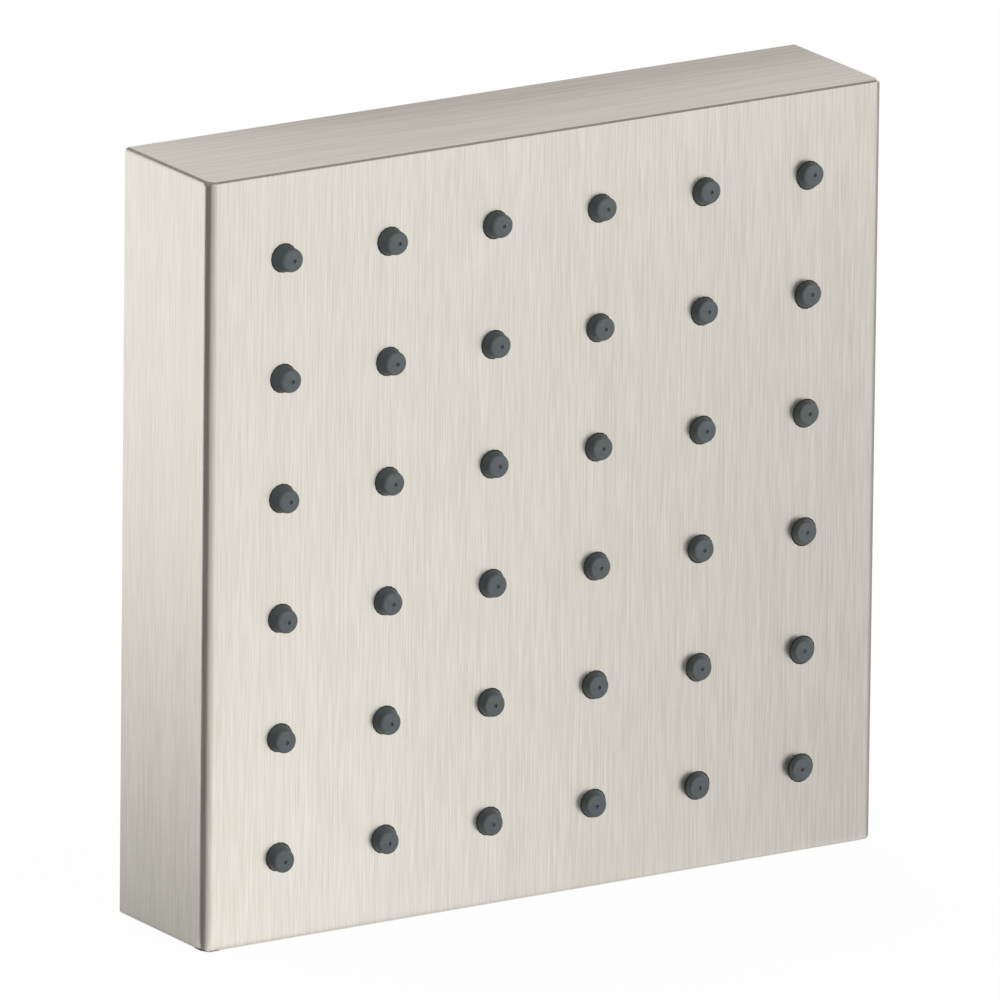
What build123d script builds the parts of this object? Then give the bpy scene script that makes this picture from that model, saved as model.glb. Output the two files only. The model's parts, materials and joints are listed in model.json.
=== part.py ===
from build123d import *
from math import sqrt
import os

# Shower body jet: a square wall module with a field of soft leaning nozzles on its face.
# X runs to the right seen from the front, Y runs into the wall and Z runs up.
# The origin is the middle of the wall plane, on the axis of the water inlet.

# Driving dimensions, in millimetres

# Hood, a brushed metal cup that is open towards the wall
side = 120.0
depth = 24.0
skin = 1.5
upright_edge_radius = 1.5
return_edge_radius = 0.7
level_edge_radius = 0.4
face_corner_radius = 1.8
face_corner_flare = 15.0
pocket_corner_radius = 0.8

# Field of nozzles
jets_per_row = 6
field_inset = 13.25
nub_clearance = 0.1

# Small round forms that repeat are drawn with flat sides
flats_per_round = 16
flats_per_nub = 10
flats_per_jet = 6

# Nozzle mat, one soft moulding
mat_thickness = 1.6
mat_border = 4.25
mat_corner_cut = 5.0
nub_proud = 1.8
nub_root_diameter = 4.3
nub_shoulder_diameter = 3.8
nub_tip_diameter = 3.0
nub_shoulder_height = 0.4
jet_mouth_diameter = 2.2
jet_orifice_diameter = 0.7

# How far a nub's tip leans from the middle of its hole, at the outer columns and rows
lean_right_by_column = -0.43
lean_right_by_row = 0.35
lean_up_by_column = 0.325
lean_up_by_row = 0.1

# Water chamber, a tray with feed windows closed by a ribbed cover
chamber_gap = 1.5
chamber_corner_cut = 2.0
chamber_rim = 7.0
mat_play = 0.1
tray_floor = 2.5
feed_window_width = 3.0
water_corner_cut = 3.5
cover_thickness = 3.0
rib_thickness = 2.0
rib_height = 2.5
rib_end_inset = 9.0

# Gasket in the tray's rim
gasket_inset = 0.8
gasket_width = 2.0
gasket_height = 1.5
gasket_play = 0.1

# Studs in the hood's corners and the nuts that clamp the chamber on them
stud_diameter = 3.0
stud_inset = 5.5
stud_hole_play = 0.2
stud_past_nut = 0.5
nut_flats = 5.5
nut_height = 2.4
nut_play = 0.05

# Plug-in inlet: a threaded nipple whose smooth spigot stands in the cover's socket
spigot_diameter = 18.0
spigot_play = 0.1
socket_wall = 3.0
socket_behind_cover = 4.0
socket_clearance = 2.4
socket_lip_height = 1.5
socket_lip_width = 2.0
sieve_thickness = 0.4
sieve_play = 0.05
thread_diameter = 20.955
thread_length = 15.0
thread_chamfer = 1.0
waterway_diameter = 9.0
key_flats = 10.0
key_depth = 7.0
ring_groove_depth = 1.6
ring_groove_width = 2.4
ring_groove_from_tip = 2.6
ring_play = 0.05

# Flow limiter in the wall end of the nipple: a cup with a soft ring around its post
limiter_diameter = 14.0
limiter_height = 6.0
limiter_play = 0.1
limiter_wall = 1.6
limiter_floor = 1.6
limiter_post_diameter = 3.0
limiter_port_width = 1.5
limiter_port_circle = 7.4
ports_per_limiter = 6
limiter_ring_play = 0.2
limiter_ring_width = 1.7
limiter_ring_height = 2.0

# Wall plate, a folded sheet with slots for the wall screws
sheet = 1.5
sheet_bend_radius = 1.0
plate_gap = 3.0
plate_corner_radius = 6.0
plate_window_play = 0.9
wall_slot_spacing = 72.0
wall_slot_width = 5.2
wall_slot_length = 12.0
service_gap = 0.4
top_fold_width = 60.0
tongue_width = 12.0
tongue_relief = 1.0

# Grub screws in the underside, which lock the hood to the tongues of the wall plate
grub_spacing = 60.0
grub_diameter = 4.0
grub_play = 0.05
grub_recess = 0.5
grub_socket = 2.0
grub_socket_depth = 2.5
grub_reach = 2.5
boss_wall = 1.2
boss_height = 4.0
boss_from_wall = 1.2

# Levels along Y: the front of the chamber follows the face, its back follows the wall
boss_width = grub_diameter + 2 * boss_wall
fold_reach = boss_from_wall + boss_width
face_y = -depth
mat_front_y = face_y + skin
tray_floor_y = mat_front_y + mat_thickness
water_y = tray_floor_y + tray_floor
cover_back_y = -fold_reach - service_gap
split_y = cover_back_y - cover_thickness
socket_back_y = cover_back_y + socket_behind_cover
socket_front_y = water_y + socket_clearance
sieve_y = socket_front_y + socket_lip_height
spigot_tip_y = sieve_y + sieve_thickness
groove_y = spigot_tip_y + ring_groove_from_tip
limiter_seat_y = thread_length - limiter_height
limiter_floor_y = limiter_seat_y + limiter_floor
grub_y = -boss_from_wall - boss_width / 2

# Half sizes, centre lines and diameters that follow from the fits
half_side = side / 2
half_pocket = half_side - skin
half_field = half_side - field_inset
jet_pitch = 2 * half_field / (jets_per_row - 1)
jet_hole_diameter = nub_root_diameter + 2 * nub_clearance
half_mat = half_field + mat_border
half_chamber = half_pocket - chamber_gap
half_water = half_chamber - chamber_rim
stud_line = half_pocket - stud_inset
stud_hole_diameter = stud_diameter + stud_hole_play
socket_bore = spigot_diameter + 2 * spigot_play
socket_diameter = socket_bore + 2 * socket_wall
groove_diameter = spigot_diameter - 2 * ring_groove_depth
half_plate = half_pocket - plate_gap
tongue_z = -half_pocket + boss_height + grub_reach
overcut = 1.0


def slab(outline, y_from, y_to):
    # An outline drawn in X and Z, given thickness between two distances from the wall plane
    return extrude(Plane.XZ.offset(-y_to) * outline, amount=y_to - y_from)


def rod(diameter, y_from, y_to):
    # A round bar along Y, on the axis of the water inlet
    return slab(Circle(diameter / 2), y_from, y_to)


def rounded_square(half, radius):
    return RectangleRounded(2 * half, 2 * half, radius)


def cut_square(half, cut):
    # A square outline with its corners cut off
    outline = Rectangle(2 * half, 2 * half)
    return chamfer(outline.vertices(), cut)


def grown(outline, by):
    return offset(outline, by, kind=Kind.INTERSECTION)


def turned(points):
    # A turned piece, from its half section as (radius, y) points
    return revolve(make_face(Polyline(*points, close=True)), Axis.Y)


def hexagon(across_flats):
    return RegularPolygon(across_flats / sqrt(3), 6)


def small_hole(diameter):
    # A small round hole, drawn with flat sides that touch its circle from outside
    return RegularPolygon(diameter / 2, flats_per_round, major_radius=False)


def at_studs(outline, y_from, y_to):
    # One outline at the place of each stud, given thickness along Y
    grid = GridLocations(2 * stud_line, 2 * stud_line, 2, 2)
    return slab(Sketch() + grid * outline, y_from, y_to)


def jet_places():
    # Each hole's middle, with its place in the field from -1 to 1 each way
    steps = [-half_field + jet_pitch * i for i in range(jets_per_row)]
    return [(x, z, x / half_field, z / half_field) for x in steps for z in steps]


def grub_places():
    return [-grub_spacing / 2, grub_spacing / 2]


def hood_block():
    # Three outlines, each rounding its own edges, cut the block from three sides
    front_outline = slab(rounded_square(half_side, return_edge_radius), face_y, 0)
    # The face's corners are eased more, on cones that open towards the wall
    into_wall = Plane((0, face_y, 0), x_dir=(1, 0, 0), z_dir=(0, 1, 0))
    eased_face = into_wall * rounded_square(half_side, face_corner_radius)
    front_outline &= extrude(eased_face, amount=depth, taper=-face_corner_flare)
    plan = Pos(0, (face_y + overcut) / 2) * Rectangle(side, depth + overcut)
    plan = fillet(plan.vertices().group_by(Axis.Y)[0], upright_edge_radius)
    plan_block = extrude(Plane.XY.offset(-half_side) * plan, amount=side)
    section = Pos((face_y + overcut) / 2, 0) * Rectangle(depth + overcut, side)
    section = fillet(section.vertices().group_by(Axis.X)[0], level_edge_radius)
    section_block = extrude(Plane.YZ.offset(-half_side) * section, amount=side)
    return front_outline & plan_block & section_block


def hood():
    body = hood_block() - slab(rounded_square(half_pocket, pocket_corner_radius), mat_front_y, overcut)
    grid = GridLocations(jet_pitch, jet_pitch, jets_per_row, jets_per_row)
    holes = Sketch() + grid * small_hole(jet_hole_diameter)
    body -= slab(holes, face_y - overcut, mat_front_y + overcut)
    stud_end_y = cover_back_y + nut_height + stud_past_nut
    body += at_studs(RegularPolygon(stud_diameter / 2, flats_per_round), mat_front_y, stud_end_y)
    for x in grub_places():
        boss = Pos(x, grub_y) * Rectangle(boss_width, boss_width)
        body += extrude(Plane.XY.offset(-half_pocket) * boss, amount=boss_height)
        bore = Pos(x, grub_y) * Circle(grub_diameter / 2 + grub_play)
        body -= extrude(Plane.XY.offset(-half_side) * bore, amount=skin + boss_height)
    return body


def nub_lean(u, v):
    # From the middle of a hole, at the face, to the middle of its nub's tip
    right = lean_right_by_column * u + lean_right_by_row * v
    up = lean_up_by_column * u + lean_up_by_row * v
    return Vector(right, -nub_proud, up)


def nub_ring(middle, diameter, flats):
    # One flat-sided ring of a nub or of its jet, level with the face
    return Plane(middle, x_dir=(1, 0, 0), z_dir=(0, -1, 0)) * RegularPolygon(diameter / 2, flats)


def spanned(*rings):
    # The flat-faced solid that spans a row of rings
    return ConvexPolyhedron([corner.center() for ring in rings for corner in ring.vertices()])


def nozzle_mat():
    # Each nub stands straight in its hole and leans from the face on, and its jet runs straight to the tip
    into_wall = Vector(0, 1, 0)
    nubs = []
    jets = []
    for x, z, u, v in jet_places():
        lean = nub_lean(u, v)
        foot = Vector(x, face_y, z)
        tip = foot + lean
        root_ring = nub_ring(foot + into_wall * (skin + mat_thickness / 2), nub_root_diameter, flats_per_nub)
        foot_ring = nub_ring(foot, nub_root_diameter, flats_per_nub)
        shoulder = foot + lean * (1 - nub_shoulder_height / nub_proud)
        shoulder_ring = nub_ring(shoulder, nub_shoulder_diameter, flats_per_nub)
        tip_ring = nub_ring(tip, nub_tip_diameter, flats_per_nub)
        mouth_ring = nub_ring(foot + into_wall * (skin + mat_thickness), jet_mouth_diameter, flats_per_jet)
        orifice_ring = nub_ring(tip, jet_orifice_diameter, flats_per_jet)
        nubs += [spanned(root_ring, foot_ring), spanned(foot_ring, shoulder_ring, tip_ring)]
        jets.append(spanned(mouth_ring, orifice_ring))
    return slab(cut_square(half_mat, mat_corner_cut), mat_front_y, tray_floor_y) + nubs - jets


def jet_plate():
    body = slab(cut_square(half_chamber, chamber_corner_cut), mat_front_y, split_y)
    body -= slab(grown(cut_square(half_mat, mat_corner_cut), mat_play), mat_front_y, tray_floor_y)
    body -= slab(cut_square(half_water, water_corner_cut), water_y, split_y)
    window = Rectangle(2 * half_field + feed_window_width, feed_window_width)
    rows = Sketch() + GridLocations(1, jet_pitch, 1, jets_per_row) * window
    body -= slab(rows, tray_floor_y, water_y)
    body -= gasket_ring(gasket_play)
    return body - at_studs(small_hole(stud_hole_diameter), mat_front_y, split_y)


def gasket_ring(play):
    edge = cut_square(half_water, water_corner_cut)
    ring = grown(edge, gasket_inset + gasket_width + play) - grown(edge, gasket_inset - play)
    return slab(ring, split_y - gasket_height, split_y)


def chamber_cover():
    body = slab(cut_square(half_chamber, chamber_corner_cut), split_y, cover_back_y)
    body += rod(socket_diameter, socket_front_y, socket_back_y)
    rib_end = half_chamber - rib_end_inset
    rib = Pos(0, rib_end / 2) * Rectangle(rib_thickness, rib_end)
    ribs = Sketch() + [Rot(0, 0, turn) * rib for turn in range(0, 360, 45)]
    body += slab(ribs, cover_back_y, cover_back_y + rib_height)
    body -= rod(socket_bore, sieve_y, socket_back_y)
    body -= rod(socket_bore - 2 * socket_lip_width, socket_front_y, sieve_y)
    return body - at_studs(small_hole(stud_hole_diameter), split_y, cover_back_y)


def stud_nuts():
    outline = hexagon(nut_flats) - small_hole(stud_diameter + 2 * nut_play)
    return at_studs(outline, cover_back_y, cover_back_y + nut_height)


def inlet_sieve():
    return rod(socket_bore - 2 * sieve_play, sieve_y, spigot_tip_y)


def inlet_nipple():
    spigot_radius = spigot_diameter / 2
    groove_radius = groove_diameter / 2
    thread_radius = thread_diameter / 2
    body = turned([
        (0, spigot_tip_y),
        (spigot_radius, spigot_tip_y),
        (spigot_radius, groove_y),
        (groove_radius, groove_y),
        (groove_radius, groove_y + ring_groove_width),
        (spigot_radius, groove_y + ring_groove_width),
        (spigot_radius, 0),
        (thread_radius, 0),
        (thread_radius, thread_length - thread_chamfer),
        (thread_radius - thread_chamfer, thread_length),
        (0, thread_length),
    ])
    body -= rod(waterway_diameter, spigot_tip_y, thread_length)
    body -= slab(hexagon(key_flats), spigot_tip_y, spigot_tip_y + key_depth)
    return body - rod(limiter_diameter + 2 * limiter_play, limiter_seat_y, thread_length)


def spigot_ring():
    # A sealing ring of square section in the spigot's groove
    ring = Circle(socket_bore / 2 - ring_play) - Circle(groove_diameter / 2 + ring_play)
    return slab(ring, groove_y + ring_play, groove_y + ring_groove_width - ring_play)


def limiter_body():
    body = rod(limiter_diameter, limiter_seat_y, thread_length)
    body -= rod(limiter_diameter - 2 * limiter_wall, limiter_floor_y, thread_length)
    body += rod(limiter_post_diameter, limiter_floor_y, limiter_floor_y + limiter_ring_height)
    port = Rectangle(limiter_port_width, limiter_port_width)
    ports = Sketch() + PolarLocations(limiter_port_circle / 2, ports_per_limiter) * port
    return body - slab(ports, limiter_seat_y, limiter_floor_y)


def limiter_ring():
    bore = limiter_post_diameter / 2 + limiter_ring_play
    ring = Circle(bore + limiter_ring_width) - Circle(bore)
    return slab(ring, limiter_floor_y, limiter_floor_y + limiter_ring_height)


def folded_strip(width, z_root, z_fold, x):
    # A strip that leaves the plate at one height and folds forward at another, with a rounded bend
    toward = 1 if z_fold > z_root else -1
    inner_z = z_fold - toward * sheet
    stem = Pos(-sheet / 2, (z_root + z_fold) / 2) * Rectangle(sheet, abs(z_fold - z_root))
    leg = Pos(-fold_reach / 2, (z_fold + inner_z) / 2) * Rectangle(fold_reach, sheet)
    bend = stem + leg
    bend = fillet(bend.vertices().sort_by_distance((0, z_fold))[0], sheet_bend_radius + sheet)
    bend = fillet(bend.vertices().sort_by_distance((-sheet, inner_z))[0], sheet_bend_radius)
    return extrude(Plane.YZ.offset(x - width / 2) * bend, amount=width)


def wall_plate():
    window = socket_diameter / 2 + plate_window_play
    outline = rounded_square(half_plate, plate_corner_radius) - Circle(window)
    slot = SlotOverall(wall_slot_length, wall_slot_width)
    outline -= GridLocations(wall_slot_spacing, wall_slot_spacing, 2, 2) * slot
    notch_top = tongue_z + sheet_bend_radius + sheet
    notch_height = notch_top + half_plate
    notch = Rectangle(tongue_width + 2 * tongue_relief, notch_height, align=(Align.CENTER, Align.MAX))
    outline -= [Pos(x, notch_top) * notch for x in grub_places()]
    body = slab(outline, -sheet, 0)
    body += folded_strip(top_fold_width, half_plate - plate_corner_radius, half_pocket, 0)
    body += [folded_strip(tongue_width, notch_top + sheet, tongue_z, x) for x in grub_places()]
    return body


def grub_screw(x):
    bottom_z = -half_side + grub_recess
    foot = Plane.XY.offset(bottom_z) * Pos(x, grub_y)
    body = extrude(foot * Circle(grub_diameter / 2), amount=tongue_z - bottom_z)
    return body - extrude(foot * hexagon(grub_socket), amount=grub_socket_depth)


nodes = {
    "hood": [hood()],
    "nozzle_mat": [nozzle_mat()],
    "jet_plate": [jet_plate()],
    "chamber_gasket": [gasket_ring(0)],
    "chamber_cover": [chamber_cover()],
    "stud_nuts": [stud_nuts()],
    "inlet_sieve": [inlet_sieve()],
    "inlet_nipple": [inlet_nipple()],
    "spigot_ring": [spigot_ring()],
    "limiter_body": [limiter_body()],
    "limiter_ring": [limiter_ring()],
    "wall_plate": [wall_plate()],
    "grub_screws": [grub_screw(x) for x in grub_places()],
}

os.makedirs("parts", exist_ok=True)
for name, pieces in nodes.items():
    solids = [solid for piece in pieces for solid in piece.solids()]
    shape = solids[0] if len(solids) == 1 else Compound(children=solids)
    export_step(shape, f"parts/{name}.step")
    print(name, len(solids), "solids")
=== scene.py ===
import bpy
import bmesh
import json
import math
import numpy as np
from mathutils import Matrix, Vector


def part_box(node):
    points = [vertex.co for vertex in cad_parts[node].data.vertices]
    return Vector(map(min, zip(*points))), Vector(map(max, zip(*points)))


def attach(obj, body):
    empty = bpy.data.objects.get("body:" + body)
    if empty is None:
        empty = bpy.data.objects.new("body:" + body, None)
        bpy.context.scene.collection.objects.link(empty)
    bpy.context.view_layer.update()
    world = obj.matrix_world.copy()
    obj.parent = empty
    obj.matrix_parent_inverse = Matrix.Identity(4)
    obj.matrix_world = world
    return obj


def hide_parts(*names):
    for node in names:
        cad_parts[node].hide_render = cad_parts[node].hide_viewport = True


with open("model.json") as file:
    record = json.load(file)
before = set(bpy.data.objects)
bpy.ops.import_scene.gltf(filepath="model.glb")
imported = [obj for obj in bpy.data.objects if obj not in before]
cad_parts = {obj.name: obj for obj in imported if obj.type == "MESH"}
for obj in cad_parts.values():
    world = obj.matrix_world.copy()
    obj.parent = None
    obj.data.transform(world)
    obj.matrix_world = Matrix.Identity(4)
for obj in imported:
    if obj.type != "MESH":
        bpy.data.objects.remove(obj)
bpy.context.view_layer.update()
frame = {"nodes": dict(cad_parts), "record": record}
mm = 0.001
body = "root"
hoodLow, hoodHigh = (np.array(corner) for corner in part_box("hood"))
faceY, floorZ = hoodLow[1], hoodLow[2]
print("frame loaded with", len(frame["nodes"]), "nodes")


# sRGB hex to linear, the standard two-part curve
def hexColour(code):
    levels = [int(code[i:i + 2], 16) / 255 for i in (1, 3, 5)]
    return [c / 12.92 if c <= 0.04045 else ((c + 0.055) / 1.055) ** 2.4 for c in levels] + [1.0]


# one node with its settings; an input is a value or another node's output
def addNode(tree, kind, inputs=None, **settings):
    node = tree.nodes.new(kind)
    for name, value in settings.items():
        setattr(node, name, value)
    for key, value in (inputs or {}).items():
        if isinstance(value, bpy.types.NodeSocket):
            tree.links.new(value, node.inputs[key])
        else:
            node.inputs[key].default_value = value
    return node


def newMaterial(name):
    material = bpy.data.materials.new(name)
    material.use_nodes = True
    material.node_tree.nodes.clear()
    return material, material.node_tree


# how often a pattern repeats in a metre along each axis, from its cell in millimetres
def perMetre(cell):
    return [1 / (size * mm) for size in cell]


# faces of a grid of points, rows by columns, with the columns closed round or left open
def gridFaces(rows, columns, closed=True):
    row = np.arange(rows - 1)[:, None] * columns
    here = np.arange(columns if closed else columns - 1)[None, :]
    after = (here + 1) % columns
    quads = np.stack([row + here, row + after, row + columns + after, row + columns + here], -1)
    return quads.reshape(-1, 4)


joining = {"weld": 0.002, "shortestEdge": 0.001}  # millimetres


def meshPiece(name, points, faces, material, standsFor, sharpAngle):
    mesh = bpy.data.meshes.new(name)
    mesh.from_pydata(points.reshape(-1, 3).tolist(), [], faces.tolist())
    sheet = bmesh.new()
    sheet.from_mesh(mesh)
    bmesh.ops.remove_doubles(sheet, verts=sheet.verts, dist=joining["weld"] * mm)
    bmesh.ops.dissolve_degenerate(sheet, edges=sheet.edges, dist=joining["shortestEdge"] * mm)
    bmesh.ops.recalc_face_normals(sheet, faces=sheet.faces)
    sheet.to_mesh(mesh)
    sheet.free()
    mesh.shade_smooth()
    mesh.set_sharp_from_angle(angle=math.radians(sharpAngle))
    piece = bpy.data.objects.new(name, mesh)
    bpy.context.scene.collection.objects.link(piece)
    mesh.materials.append(material)
    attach(piece, body)
    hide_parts(standsFor)


def dress(node, material):
    data = frame["nodes"][node].data
    data.materials.clear()
    data.materials.append(material)


# Brushed nickel plate: fine scratches drawn one way, upright on the walls and the face and lengthwise on top, which
# give a satin sheen with thin light and dark lines
nickel = {
    "light": "#F3EFE5", "dark": "#E1DDD1",
    # width and length of a mark; the real scratches are finer, drawn as wide as a render pixel or two
    "wallScratch": (0.18, 8.0), "topScratch": (0.8, 28.0), "scratchDetail": 3.0,
    "wallCloud": (5.0, 160.0), "topCloud": (12.5, 160.0), "cloudDetail": 2.0, "cloudShare": 0.12,
    "wallSpread": 0.15, "topSpread": 0.085,  # a smaller spread tells light from dark more sharply
    "topFrom": 0.7,  # how upright the normal is where the top's marks begin
    "roughness": (0.28, 0.34), "roughOver": (0.3, 0.7), "bump": 0.06, "bumpDepth": 0.1,
}
noiseMiddle = 0.5


def brushedNickel():
    material, tree = newMaterial("brushed_nickel")
    place = addNode(tree, "ShaderNodeTexCoord").outputs["Object"]
    normal = addNode(tree, "ShaderNodeNewGeometry").outputs["Normal"]
    upDown = addNode(tree, "ShaderNodeSeparateXYZ", {0: normal}).outputs["Z"]
    level = addNode(tree, "ShaderNodeMath", {0: upDown}, operation="ABSOLUTE").outputs[0]
    onTop = addNode(tree, "ShaderNodeMath", {0: level, 1: nickel["topFrom"]}, operation="GREATER_THAN").outputs[0]
    layers = []
    for mark, detail in (("Scratch", nickel["scratchDetail"]), ("Cloud", nickel["cloudDetail"])):
        width, length = nickel["wall" + mark]
        upright = addNode(tree, "ShaderNodeMapping", {
            "Vector": place, "Scale": perMetre((width, width, length))}).outputs[0]
        width, length = nickel["top" + mark]
        lengthwise = addNode(tree, "ShaderNodeMapping", {
            "Vector": place, "Scale": perMetre((length, width, width))}).outputs[0]
        drawn = addNode(tree, "ShaderNodeMix", {0: onTop, 4: upright, 5: lengthwise}, data_type="VECTOR").outputs[1]
        layers.append(addNode(tree, "ShaderNodeTexNoise", {
            "Vector": drawn, "Scale": 1.0, "Detail": detail}).outputs["Fac"])
    scratches, clouds = layers
    both = addNode(tree, "ShaderNodeMix", {0: nickel["cloudShare"], 2: scratches, 3: clouds}).outputs[0]
    wallTone, topTone = (
        addNode(tree, "ShaderNodeMapRange", {0: both, 1: noiseMiddle - spread, 2: noiseMiddle + spread}).outputs[0]
        for spread in (nickel["wallSpread"], nickel["topSpread"]))
    tone = addNode(tree, "ShaderNodeMix", {0: onTop, 2: wallTone, 3: topTone}).outputs[0]
    colour = addNode(tree, "ShaderNodeMix", {
        0: tone, 6: hexColour(nickel["dark"]), 7: hexColour(nickel["light"])}, data_type="RGBA").outputs[2]
    (start, stop), (low, high) = nickel["roughOver"], nickel["roughness"]
    rough = addNode(tree, "ShaderNodeMapRange", {0: scratches, 1: start, 2: stop, 3: low, 4: high}).outputs[0]
    relief = addNode(tree, "ShaderNodeBump", {
        "Height": scratches, "Strength": nickel["bump"], "Distance": nickel["bumpDepth"] * mm}).outputs[0]
    metal = addNode(tree, "ShaderNodeBsdfPrincipled", {
        "Base Color": colour, "Metallic": 1.0, "Roughness": rough, "Normal": relief}).outputs[0]
    addNode(tree, "ShaderNodeOutputMaterial", {"Surface": metal})
    return material


# Grey silicone, moulded: soft sheen, a faint dusty speckle and a slightly paler bloom where water dries
silicone = {
    "base": "#3E4446", "bloom": "#4A5052", "speckle": 0.5, "speckleDetail": 3.0,
    "grit": 0.12, "gritDetail": 1.0, "roughness": 0.46, "ior": 1.41, "bump": 0.08, "bumpDepth": 0.05,
}


def greySilicone():
    material, tree = newMaterial("grey_silicone")
    place = addNode(tree, "ShaderNodeTexCoord").outputs["Object"]
    layers = []
    for mark in ("speckle", "grit"):
        spots = addNode(tree, "ShaderNodeMapping", {
            "Vector": place, "Scale": perMetre([silicone[mark]] * 3)}).outputs[0]
        layers.append(addNode(tree, "ShaderNodeTexNoise", {
            "Vector": spots, "Scale": 1.0, "Detail": silicone[mark + "Detail"]}).outputs["Fac"])
    speckle, grit = layers
    colour = addNode(tree, "ShaderNodeMix", {
        0: speckle, 6: hexColour(silicone["base"]), 7: hexColour(silicone["bloom"])}, data_type="RGBA").outputs[2]
    relief = addNode(tree, "ShaderNodeBump", {
        "Height": grit, "Strength": silicone["bump"], "Distance": silicone["bumpDepth"] * mm}).outputs[0]
    rubber = addNode(tree, "ShaderNodeBsdfPrincipled", {
        "Base Color": colour, "Roughness": silicone["roughness"], "IOR": silicone["ior"],
        "Normal": relief}).outputs[0]
    addNode(tree, "ShaderNodeOutputMaterial", {"Surface": rubber})
    return material


# Plain finishes that share one layout: two tones on a noise of a real grain size, with a little relief. Rubber and
# mouldings show a fine even grit, turned brass rings round its axis, and sheet steel lines along its rolling. Bright
# steel is only mottled, and woven steel shows its wires as coarse light and dark.
finishes = {
    "black_rubber": {
        "tones": ("#1E1F20", "#292A2B"), "grain": (0.4, 0.4, 0.4),
        "roughness": 0.6, "metallic": 0.0, "bump": 0.10},
    "grey_moulding": {
        "tones": ("#55575A", "#5F6164"), "grain": (0.25, 0.25, 0.25),
        "roughness": 0.5, "metallic": 0.0, "bump": 0.12},
    "white_moulding": {
        "tones": ("#DCDBD6", "#E6E5E1"), "grain": (0.25, 0.25, 0.25),
        "roughness": 0.45, "metallic": 0.0, "bump": 0.08},
    "raw_brass": {
        "tones": ("#B79A5E", "#CDB179"), "grain": (4.0, 0.18, 4.0),
        "roughness": 0.28, "metallic": 1.0, "bump": 0.05},
    "sheet_steel": {
        "tones": ("#B4B4B1", "#C6C6C3"), "grain": (30.0, 0.35, 0.35),
        "roughness": 0.36, "metallic": 1.0, "bump": 0.06},
    "bright_steel": {
        "tones": ("#B9B9B6", "#CBCBC8"), "grain": (0.5, 0.5, 0.5),
        "roughness": 0.3, "metallic": 1.0, "bump": 0.05},
    "woven_steel": {
        "tones": ("#6E6E6B", "#C3C3C0"), "grain": (0.3, 0.3, 0.3),
        "roughness": 0.4, "metallic": 1.0, "bump": 0.4},
}
finishDetail, finishBumpDepth = 2.0, 0.1


def grainedFinish(name):
    look = finishes[name]
    material, tree = newMaterial(name)
    place = addNode(tree, "ShaderNodeTexCoord").outputs["Object"]
    cells = addNode(tree, "ShaderNodeMapping", {"Vector": place, "Scale": perMetre(look["grain"])}).outputs[0]
    grain = addNode(tree, "ShaderNodeTexNoise", {
        "Vector": cells, "Scale": 1.0, "Detail": finishDetail}).outputs["Fac"]
    dark, light = (hexColour(code) for code in look["tones"])
    colour = addNode(tree, "ShaderNodeMix", {0: grain, 6: dark, 7: light}, data_type="RGBA").outputs[2]
    relief = addNode(tree, "ShaderNodeBump", {
        "Height": grain, "Strength": look["bump"], "Distance": finishBumpDepth * mm}).outputs[0]
    surface = addNode(tree, "ShaderNodeBsdfPrincipled", {
        "Base Color": colour, "Metallic": look["metallic"], "Roughness": look["roughness"],
        "Normal": relief}).outputs[0]
    addNode(tree, "ShaderNodeOutputMaterial", {"Surface": surface})
    return material


dress("hood", brushedNickel())
slotOf = {row["node"]: row["material_slot"] for row in frame["record"]["subparts"]}
plain = {name: grainedFinish(name) for name in finishes}
for node, slot in slotOf.items():
    if slot in plain:
        dress(node, plain[slot])
print("finishes on", len(slotOf), "nodes")

# Nozzle mat, in millimetres: the sheet behind the face and its leaning nubs
mat = {
    "skin": 1.5, "sheet": 1.6, "perRow": 6, "inset": 13.25, "border": 4.25, "cornerCut": 5.0,
    "proud": 1.8, "leanRight": (-0.43, 0.35), "leanUp": (0.325, 0.1),  # lean by column and by row
    "rootRadius": 2.15, "shoulderRadius": 1.85, "shoulderRound": 0.5, "tipDome": 0.1,
    "wellRadius": 0.3, "wellLip": 0.08, "wellDepth": 0.24, "orificeRadius": 0.09, "mouthRadius": 1.1,
    "ringRadius": 0.95, "ringWidth": 0.08, "ringDepth": 0.03,
    "openings": (0.15, 0.45, 1.0),  # how far each ring of the sheet has opened from circle to square
    "holeRows": 4, "wallRows": 5, "roundRows": 7, "tipRows": 13, "around": 40, "sharpAngle": 40,
}


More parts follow.
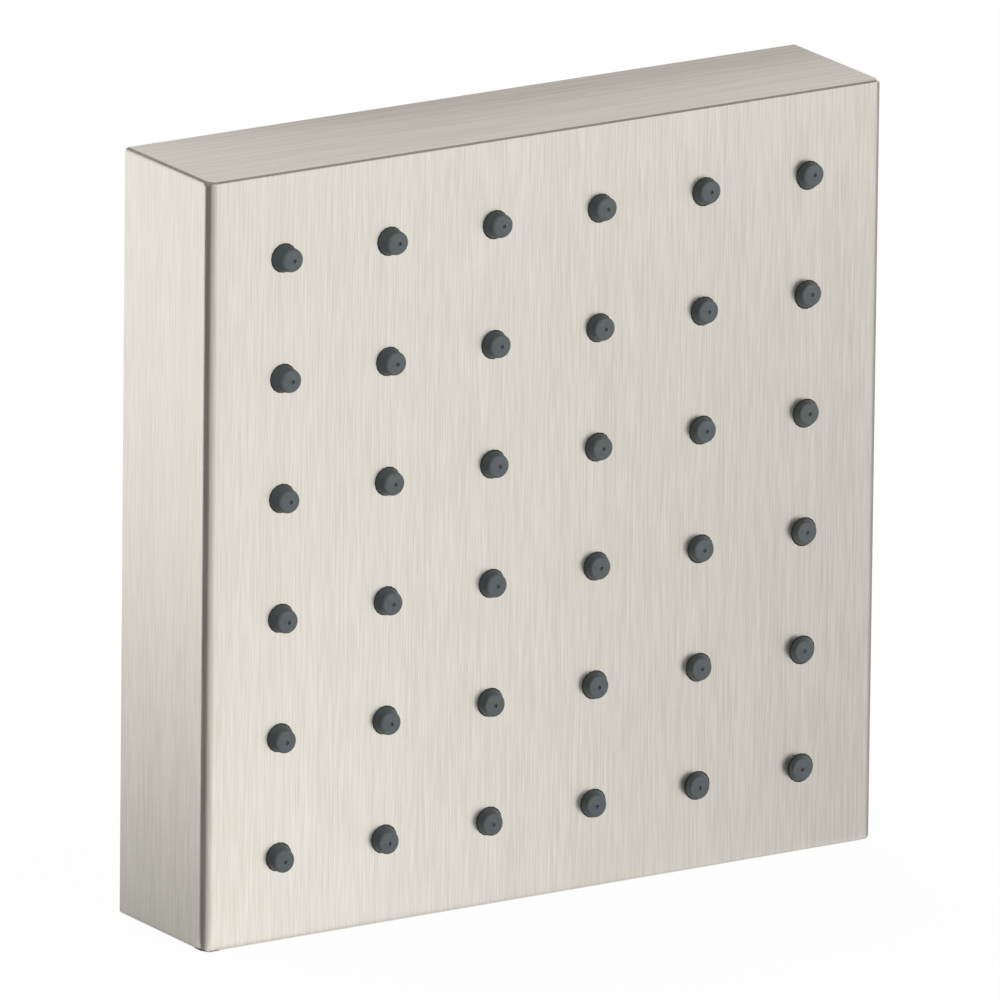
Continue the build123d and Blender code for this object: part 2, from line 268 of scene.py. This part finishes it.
# Half section of one nub from the sheet's front, over the tip and down the jet to the sheet's back, as radius, height
# above the face, and share of the nub's lean. The wall is a cone and the shoulder a quarter circle. The tip is a
# shallow dome with a faint ring dipped into it, and the jet is a well with an eased lip, then a widening cone.
def nubSection():
    skin, tip, dome, turn = mat["skin"], mat["proud"], mat["tipDome"], mat["shoulderRound"]
    root, shoulder, lip = mat["rootRadius"], mat["shoulderRadius"], mat["wellLip"]
    well, orifice, mouth = mat["wellRadius"], mat["orificeRadius"], mat["mouthRadius"]
    rim, flat = tip - dome, shoulder - turn
    part = np.linspace(0, 1, mat["wallRows"] + 1)[1:]
    quarter = np.linspace(0, math.pi / 2, mat["roundRows"] + 1)[1:]
    inHole = np.linspace(-skin, 0, mat["holeRows"])
    tipRadius = np.linspace(flat, well + lip, mat["tipRows"] + 1)[1:]
    ring = mat["ringDepth"] * np.exp(-((tipRadius - mat["ringRadius"]) / mat["ringWidth"]) ** 2)
    tipHeight = tip - dome * (tipRadius / flat) ** 2 - ring
    lipHeight = tipHeight[-1]
    throat, back = lipHeight - mat["wellDepth"], -skin - mat["sheet"]
    outside = np.concatenate([inHole, (rim - turn) * part, rim - turn * (1 - np.sin(quarter))])
    onTip = np.concatenate([tipHeight, lipHeight - lip * (1 - np.cos(quarter)), [throat, throat]])
    radius = np.concatenate([
        np.full(len(inHole), root), root + (shoulder - root) * part, shoulder - turn * (1 - np.cos(quarter)),
        tipRadius, well + lip - lip * np.sin(quarter), [well, orifice], orifice + (mouth - orifice) * part])
    height = np.concatenate([outside, onTip, throat + (back - throat) * part])
    share = np.concatenate([np.maximum(outside, 0) / tip, np.ones(len(onTip)), 1 - part])
    return radius, height, share


# Each nub is its section turned about the middle of its hole, every ring moved sideways by its share of the lean.
# The sheet between the nubs is the same surface carried on outwards: circles that open into the square of sheet
# round each nub, front and back.
def nozzleMat():
    half = hoodHigh[0] / mm - mat["inset"]
    steps = np.linspace(-half, half, mat["perRow"])
    gridX, gridZ = (g.ravel() for g in np.meshgrid(steps, steps))
    leanX, leanZ = (
        (byColumn * gridX + byRow * gridZ) / half for byColumn, byRow in (mat["leanRight"], mat["leanUp"]))
    radius, height, share = nubSection()
    turn = np.arange(mat["around"]) * 2 * math.pi / mat["around"]
    middleX = gridX[:, None] + leanX[:, None] * share
    middleZ = gridZ[:, None] + leanZ[:, None] * share
    nubX = middleX[:, :, None] + radius[:, None] * np.cos(turn)
    nubZ = middleZ[:, :, None] + radius[:, None] * np.sin(turn)
    nubY = np.broadcast_to(faceY / mm - height[:, None], nubX.shape)
    nubs = np.stack([nubX, nubY, nubZ], -1)

    # the square of sheet round each hole, cut short at the mat's edge and across its corners
    edge = half + mat["border"]
    diagonal = 2 * edge - mat["cornerCut"]
    gap = (steps[1] - steps[0]) / 2
    reachOut = np.maximum(np.abs(np.cos(turn)), np.abs(np.sin(turn)))
    cellX = np.clip(gridX[:, None] + np.cos(turn) / reachOut * gap, -edge, edge)
    cellZ = np.clip(gridZ[:, None] + np.sin(turn) / reachOut * gap, -edge, edge)
    over = np.maximum(np.abs(cellX) + np.abs(cellZ) - diagonal, 0) / 2
    cellX, cellZ = cellX - np.sign(cellX) * over, cellZ - np.sign(cellZ) * over

    def sheetRings(level, ring):
        rim = np.stack([cellX, np.full_like(cellX, level), cellZ], -1)
        return np.stack([ring + (rim - ring) * opening for opening in mat["openings"]], 1)

    sheetFront = faceY / mm + mat["skin"]
    front = sheetRings(sheetFront, nubs[:, 0])[:, ::-1]
    rear = sheetRings(sheetFront + mat["sheet"], nubs[:, -1])
    rings = np.concatenate([front, nubs, rear], 1)
    rows, columns = rings.shape[1:3]
    firstOf = np.arange(len(rings)) * rows * columns
    faces = (gridFaces(rows, columns) + firstOf[:, None, None]).reshape(-1, 4)

    # the mat's outer wall, only where a square's rim lies on the mat's outline
    slack = 1e-6
    pastSide = np.maximum(np.abs(cellX), np.abs(cellZ)) - edge
    pastCorner = np.abs(cellX) + np.abs(cellZ) - diagonal
    onEdge = np.maximum(pastSide, pastCorner) > -slack
    nub, k = np.nonzero(onEdge & np.roll(onEdge, -1, 1))
    first, follow = firstOf[nub] + k, firstOf[nub] + (k + 1) % columns
    last = (rows - 1) * columns
    wall = np.stack([first, first + last, follow + last, follow], -1)
    return rings * mm, np.concatenate([faces, wall])


matPoints, matFaces = nozzleMat()
meshPiece("nozzle_mat_moulded", matPoints, matFaces, greySilicone(), "nozzle_mat", mat["sharpAngle"])
print("nozzle mat:", len(matFaces), "faces")

# Inlet nipple, in millimetres along Y from the wall plane: spigot, groove, pipe thread, key recess and limiter seat
thread = next(m for m in frame["record"]["mounts"] if m["name"] == "inlet_thread")["dims"]
nippleLow, nippleHigh = (np.array(corner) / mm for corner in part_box("inlet_nipple"))
nipple = {
    "spigot": 9.0, "groove": 7.4, "grooveFrom": 2.6, "grooveWidth": 2.4, "edge": 0.3,
    "crest": thread["r_mm"], "pitch": 1.814, "depth": 1.162, "runOut": 1.2, "chamfer": 1.0,
    "fullness": 0.8,  # under 1, the roots are wider than the crests
    "bore": 4.5, "keyFlats": 10.0, "keyDepth": 7.0, "seat": 7.1, "seatDepth": 6.0,
    "around": 96, "perPitch": 12, "sharpAngle": 30,
}


# Radius as a function of the turn and of a station along the section. On the thread the radius dips by a rounded
# wave whose phase runs on with the turn, one pitch a turn; in the key recess it is that of a hexagon.
def inletNipple():
    n = nipple
    tip, end = nippleLow[1], nippleHigh[1]
    grooveStart, grooveEnd = tip + n["grooveFrom"], tip + n["grooveFrom"] + n["grooveWidth"]
    key, keyEnd, seatStart = n["keyFlats"] / 2, tip + n["keyDepth"], end - n["seatDepth"]
    threadEnd = end - n["chamfer"]
    threadY = np.linspace(0, threadEnd, int(threadEnd / n["pitch"] * n["perPitch"]))
    before = np.array([
        (key, tip), (n["spigot"] - n["edge"], tip), (n["spigot"], tip + n["edge"]), (n["spigot"], grooveStart),
        (n["groove"], grooveStart), (n["groove"], grooveEnd), (n["spigot"], grooveEnd), (n["spigot"], 0.0)])
    threaded = np.stack([np.full_like(threadY, n["crest"]), threadY], -1)
    behind = np.array([
        (n["crest"] - n["chamfer"], end), (n["seat"], end), (n["seat"], seatStart), (n["bore"], seatStart),
        (n["bore"], keyEnd), (key, keyEnd), (key, tip)])
    radius, station = np.concatenate([before, threaded, behind]).T
    turn = np.arange(n["around"]) * 2 * math.pi / n["around"]
    surface = np.repeat(radius[:, None], n["around"], 1)
    wave = 0.5 - 0.5 * np.cos(2 * math.pi * threadY[:, None] / n["pitch"] - turn)
    fade = np.clip(np.minimum(threadY, end - threadY) / n["runOut"], 0, 1)[:, None]
    surface[len(before):len(before) + len(threaded)] -= n["depth"] * fade * wave ** n["fullness"]
    hexagon = 1 / np.cos((turn + math.pi / 6) % (math.pi / 3) - math.pi / 6)
    surface[[0, -2, -1]] *= hexagon  # the rows of the key recess
    along = np.repeat(station[:, None], n["around"], 1)
    points = np.stack([surface * np.cos(turn), along, surface * np.sin(turn)], -1)
    return points * mm, gridFaces(*surface.shape)


nipplePoints, nippleFaces = inletNipple()
meshPiece("inlet_nipple_threaded", nipplePoints, nippleFaces, plain["raw_brass"], "inlet_nipple",
          nipple["sharpAngle"])
print("inlet nipple:", len(nippleFaces), "faces")

# Stage, in metres: pale paper floor that keeps the shadow, and is white where it is seen or mirrored
stage = {"floor": "#F2F1EE", "reach": 3.0, "glow": 0.96}


# an open grid of points as a sheet of the stage
def stageSheet(name, points, material, onlyMirrored=False):
    faces = gridFaces(*points.shape[:2], closed=False)
    mesh = bpy.data.meshes.new(name)
    mesh.from_pydata(points.reshape(-1, 3).tolist(), [], faces.tolist())
    mesh.materials.append(material)
    sheet = bpy.data.objects.new(name, mesh)
    bpy.context.scene.collection.objects.link(sheet)
    if onlyMirrored:
        sheet.visible_camera = sheet.visible_diffuse = sheet.visible_shadow = sheet.visible_transmission = False


def paperFloor():
    material, tree = newMaterial("floor_paper")
    path = addNode(tree, "ShaderNodeLightPath").outputs
    seen = path["Is Camera Ray"]
    for ray in ("Is Glossy Ray", "Is Transmission Ray"):
        seen = addNode(tree, "ShaderNodeMath", {0: seen, 1: path[ray]}, operation="MAXIMUM").outputs[0]
    share = addNode(tree, "ShaderNodeMath", {0: seen, 1: stage["glow"]}, operation="MULTIPLY").outputs[0]
    paper = addNode(tree, "ShaderNodeBsdfDiffuse", {"Color": hexColour(stage["floor"])}).outputs[0]
    white = addNode(tree, "ShaderNodeEmission", {"Color": (1, 1, 1, 1), "Strength": 1.0}).outputs[0]
    mixed = addNode(tree, "ShaderNodeMixShader", {0: share, 1: paper, 2: white}).outputs[0]
    addNode(tree, "ShaderNodeOutputMaterial", {"Surface": mixed})
    return material


floorX, floorY = np.meshgrid([-stage["reach"], stage["reach"]], [-stage["reach"], stage["reach"]])
stageSheet("floor", np.stack([floorX, floorY, np.full_like(floorX, floorZ)], -1), paperFloor())

# Cards that only the metal sees. Bearings are in degrees from the front, positive to the right, lengths in metres and
# lifts off the floor in millimetres. A flat card is a rectangle on the floor with one side along its bearing. Its grey
# runs from one level to another, along the bearing or across it, so that a wall of the hood shades as it mirrors the
# floor. The feet are narrow darker strips under the hood's lower edges, a painted contact shadow that the metal
# mirrors.
leftFoot, rightFoot = (hoodLow[0], faceY), (hoodHigh[0], faceY)
flatCards = [
    {"name": "face_card", "lift": 0.02, "at": rightFoot, "bearing": 32.5, "along": (-0.07, 0.5),
     "across": (-0.12, 0.15), "grade": "across", "span": (-0.1, 0.0), "greys": ("#FFFFFF", "#CDCDCE")},
    {"name": "side_card", "lift": 0.02, "at": leftFoot, "bearing": -90.0, "along": (0.0, 0.3),
     "across": (-0.5, 0.0), "grade": "along", "span": (0.0, 0.14), "greys": ("#B4B4B4", "#FFFFFF")},
    # the feet: painted contact shadow along the hood's front and left lower edges and at its front corner, seen only
    # in the metal
    {"name": "front_foot_shadow", "lift": 0.06, "at": leftFoot, "bearing": 0.0, "along": (0.0, 0.0015),
     "across": (0.0, 0.12), "grade": "along", "span": (0.0, 0.0015), "greys": ("#CFCFCF", "#E4E4E4")},
    {"name": "corner_foot_shadow", "lift": 0.06, "at": leftFoot, "bearing": 0.0, "along": (-0.003, 0.0),
     "across": (0.0, 0.003), "grade": "along", "span": (-0.003, 0.0), "greys": ("#4A4A4A", "#4A4A4A")},
    {"name": "side_foot_shadow", "lift": 0.06, "at": leftFoot, "bearing": -90.0, "along": (0.0, 0.0015),
     "across": (-0.024, 0.0), "grade": "along", "span": (0.0, 0.0015), "greys": ("#9C9C9C", "#B4B4B4")},
]
# A swept card spans two bearings round one of the hood's front edges. It runs out over the floor and rises at its end.
sweptCards = [
    {"name": "edge_card", "edge": hoodLow[0], "from": -124, "to": -42, "reach": 0.3, "rise": 0.45, "grey": "#6A6866"},
    {"name": "edge_fade", "edge": hoodLow[0], "from": -42, "to": -8, "reach": 0.3, "rise": 0.45, "grey": "#BCBAB8"},
    {"name": "edge_glow", "edge": hoodLow[0], "from": -8, "to": 22, "reach": 0.3, "rise": 0.45, "grey": "#DAD8D6"},
    {"name": "right_card", "edge": hoodHigh[0], "from": 64, "to": 136, "reach": 0.3, "rise": 0.1, "grey": "#A6A4A2"},
]
sweptLift, sweptColumns = 0.04, 25
# The back card stands behind the hood's top edge and rises to the right, so that the top darkens towards the wall
backCard = {
    "name": "back_card", "behind": 0.012, "rise": (0.0, 0.0075, 0.0075),
    "across": (hoodLow[0] - 0.02, hoodLow[0] + 0.06, hoodHigh[0] + 0.03), "grey": "#CAC8C6",
}


# an even glow from the card's own grey, which is a colour or the output of a node in its material
def studioCard(name, points, material, grey):
    tree = material.node_tree
    glow = addNode(tree, "ShaderNodeEmission", {"Color": grey, "Strength": 1.0}).outputs[0]
    addNode(tree, "ShaderNodeOutputMaterial", {"Surface": glow})
    stageSheet(name, points, material, onlyMirrored=True)


# A flat card's point is its corner plus so much along the bearing and so much across it
def flatCard(card):
    turn = math.radians(card["bearing"])
    axes = {"along": np.array([math.sin(turn), -math.cos(turn), 0]),
            "across": np.array([math.cos(turn), math.sin(turn), 0])}
    corner = np.array([*card["at"], floorZ + card["lift"] * mm])
    along = np.array(card["along"])[:, None, None] * axes["along"]
    across = np.array(card["across"])[None, :, None] * axes["across"]
    material, tree = newMaterial(card["name"])
    place = addNode(tree, "ShaderNodeTexCoord").outputs["Object"]
    axis = axes[card["grade"]]
    step = addNode(tree, "ShaderNodeVectorMath", {0: place, 1: axis}, operation="DOT_PRODUCT").outputs["Value"]
    start, stop = (float(corner @ axis) + span for span in card["span"])
    share = addNode(tree, "ShaderNodeMapRange", {0: step, 1: start, 2: stop}).outputs[0]
    near, far = (hexColour(code) for code in card["greys"])
    grey = addNode(tree, "ShaderNodeMix", {0: share, 6: near, 7: far}, data_type="RGBA").outputs[2]
    studioCard(card["name"], corner + along + across, material, grey)


# A swept card's point is its distance from the edge along a bearing, with a row at the edge, one out on the floor
# and one straight above that
def sweptCard(card):
    bearing = np.radians(np.linspace(card["from"], card["to"], sweptColumns))
    distance = np.array([0.0, card["reach"], card["reach"]])[:, None]
    height = np.array([0.0, 0.0, card["rise"]])[:, None] + floorZ + sweptLift * mm
    x, y = card["edge"] + distance * np.sin(bearing), faceY - distance * np.cos(bearing)
    material = newMaterial(card["name"])[0]
    points = np.stack([x, y, np.broadcast_to(height, x.shape)], -1)
    studioCard(card["name"], points, material, hexColour(card["grey"]))


# An upright card's point is a place along X, level with the hood's top or risen above it
def uprightCard(card):
    x = np.array([card["across"], card["across"]])
    y = np.full_like(x, hoodHigh[1] + card["behind"])
    z = hoodHigh[2] + np.outer([0, 1], card["rise"])
    material = newMaterial(card["name"])[0]
    studioCard(card["name"], np.stack([x, y, z], -1), material, hexColour(card["grey"]))


uprightCard(backCard)
for card in flatCards:
    flatCard(card)
for card in sweptCards:
    sweptCard(card)

# Two soft lamps for the mouldings and the floor, in metres and watts; the metal mirrors only the cards and the sky
lamps = [
    {"name": "key", "at": (0.6, -1.5, 0.55), "size": 1.0, "watts": 30},
    {"name": "back", "at": (-0.2, 1.1, 1.4), "size": 1.4, "watts": 22},
]
for lamp in lamps:
    light = bpy.data.lights.new(lamp["name"], "AREA")
    light.size, light.energy = lamp["size"], lamp["watts"]
    bulb = bpy.data.objects.new(lamp["name"], light)
    bulb.location = lamp["at"]
    bulb.rotation_euler = (-Vector(lamp["at"])).to_track_quat("-Z", "Y").to_euler()
    bulb.visible_glossy = False
    bpy.context.scene.collection.objects.link(bulb)

# Sky by height in degrees: bright low down, a darker band, and grey above
sky = {
    "horizon": "#F5F4F3", "band": "#767472", "zenith": "#9A9896",
    "brightTo": 18, "bandFrom": 31, "bandTo": 40, "zenithFrom": 54, "strength": 1.0,
}


def studioSky():
    world = bpy.data.worlds.new("studio")
    bpy.context.scene.world = world
    world.use_nodes = True
    tree = world.node_tree
    tree.nodes.clear()
    direction = addNode(tree, "ShaderNodeTexCoord").outputs["Generated"]
    rise = addNode(tree, "ShaderNodeSeparateXYZ", {0: direction}).outputs["Z"]
    dome = hexColour(sky["horizon"])
    for start, stop, colour in (("brightTo", "bandFrom", "band"), ("bandTo", "zenithFrom", "zenith")):
        low, high = (math.sin(math.radians(sky[name])) for name in (start, stop))
        climb = addNode(tree, "ShaderNodeMapRange", {0: rise, 1: low, 2: high}).outputs[0]
        dome = addNode(tree, "ShaderNodeMix", {
            0: climb, 6: dome, 7: hexColour(sky[colour])}, data_type="RGBA").outputs[2]
    glow = addNode(tree, "ShaderNodeBackground", {"Color": dome, "Strength": sky["strength"]}).outputs[0]
    addNode(tree, "ShaderNodeOutputWorld", {"Surface": glow})


studioSky()

# Camera, in degrees, millimetres and pixels: left of the front, a look down, a small roll and a long lens
shot = {
    "yaw": 32.487, "pitch": 15.971, "roll": 0.642, "distance": 4019.1, "focalPixels": 26637.0,
    "slideRight": 6.716, "slideUp": -2.286, "frame": 1000.0, "sensor": 36.0, "seesTo": 50000.0,
}


def photoCamera():
    yaw, pitch, roll = (math.radians(shot[name]) for name in ("yaw", "pitch", "roll"))
    ahead = Vector((math.sin(yaw) * math.cos(pitch), math.cos(yaw) * math.cos(pitch), -math.sin(pitch)))
    level = Vector((math.cos(yaw), -math.sin(yaw), 0))
    lift = level.cross(ahead)
    right = math.cos(roll) * level + math.sin(roll) * lift
    up = math.cos(roll) * lift - math.sin(roll) * level
    target = Vector((0, faceY, 0))
    place = target - mm * (shot["distance"] * ahead + shot["slideRight"] * right + shot["slideUp"] * up)
    data = bpy.data.cameras.new("photo_camera")
    data.sensor_width = shot["sensor"]
    data.lens = shot["focalPixels"] / shot["frame"] * shot["sensor"]
    data.clip_end = shot["seesTo"] * mm
    camera = bpy.data.objects.new("photo_camera", data)
    turn = Matrix((right, up, -ahead)).transposed().to_4x4()
    camera.matrix_world = Matrix.Translation(place) @ turn
    bpy.context.scene.collection.objects.link(camera)
    bpy.context.scene.camera = camera


photoCamera()
bpy.context.scene.view_settings.view_transform = "Standard"
print("stage, lamps and camera set")
